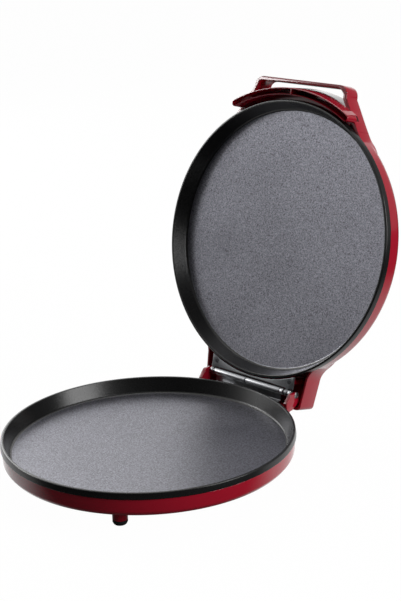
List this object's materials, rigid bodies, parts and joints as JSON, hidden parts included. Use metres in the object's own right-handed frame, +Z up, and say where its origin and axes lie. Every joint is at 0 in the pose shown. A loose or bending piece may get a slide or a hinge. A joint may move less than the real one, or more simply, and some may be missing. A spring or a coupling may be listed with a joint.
{
  "type": "electric pizza maker",
  "caption": "Electric pizza maker with two round non-stick pans in red plastic shells, shown with its hinged lid open.",
  "frame": {"origin": "centre of the bounding box in plan, at the height the feet stand on", "axes": "+Z up, -Y towards the handle side of the base where the cook stands, +Y towards the hinge, +X to the right as the cook sees it"},
  "size_m": [0.3114, 0.4312, 0.3775],
  "materials": {
    "red_plastic": "glossy moulded red plastic",
    "non_stick": "satin dark grey non-stick coating with a fine sparkle",
    "black_steel": "glossy black coated steel",
    "bright_steel": "bright zinc-plated steel",
    "element_steel": "dull heat-tinted sheath",
    "foil": "bright rolled sheet",
    "rubber": "matt black",
    "ceramic": "matt off-white ceramic",
    "lead_sleeve": "woven glass-fibre sleeve",
    "red_lens": "clear red lens",
    "green_lens": "clear green lens"
  },
  "bodies": {
    "base": {"base_shell": "red_plastic", "lower_pan": "non_stick", "lower_element": "element_steel", "lower_reflector": "foil", "thermostat": "ceramic", "thermal_fuse": "bright_steel", "terminal_block": "ceramic", "cord_gland": "rubber", "base_hinge_bracket": "black_steel", "hinge_pin": "bright_steel", "hinge_pin_clip": "bright_steel", "hinge_washer_1": "bright_steel", "hinge_washer_2": "bright_steel", "hinge_washer_3": "bright_steel", "hinge_washer_4": "bright_steel", "foot_pad_front_left": "rubber", "foot_pad_front_right": "rubber", "foot_pad_rear_left": "rubber", "foot_pad_rear_right": "rubber", "base_screw_1": "bright_steel", "base_screw_2": "bright_steel", "base_screw_3": "bright_steel", "base_screw_4": "bright_steel", "bracket_screw_1": "bright_steel", "bracket_screw_2": "bright_steel", "lower_element_clip_1": "bright_steel", "lower_element_clip_2": "bright_steel", "lower_element_clip_3": "bright_steel", "thermostat_lead_left": "lead_sleeve", "thermostat_lead_right": "lead_sleeve"},
    "lid": {"lid_shell": "red_plastic", "handle": "red_plastic", "upper_pan": "non_stick", "upper_element": "element_steel", "upper_reflector": "foil", "lid_hinge_bracket": "black_steel", "lid_bracket_screw_left": "black_steel", "lid_bracket_screw_right": "black_steel", "handle_screw_left": "bright_steel", "handle_screw_right": "bright_steel", "upper_lead_left": "lead_sleeve", "upper_lead_right": "lead_sleeve", "upper_element_clip_1": "bright_steel", "upper_element_clip_2": "bright_steel", "upper_element_clip_3": "bright_steel", "power_lamp": "red_lens", "ready_lamp": "green_lens"}
  },
  "joints": [
    {"name": "lid_hinge", "type": "hinge", "parent": "base", "child": "lid", "pos_m": [0, 0.10339, 0.0492], "axis": [1, 0, 0], "range_deg": [0, 105]}
  ]
}
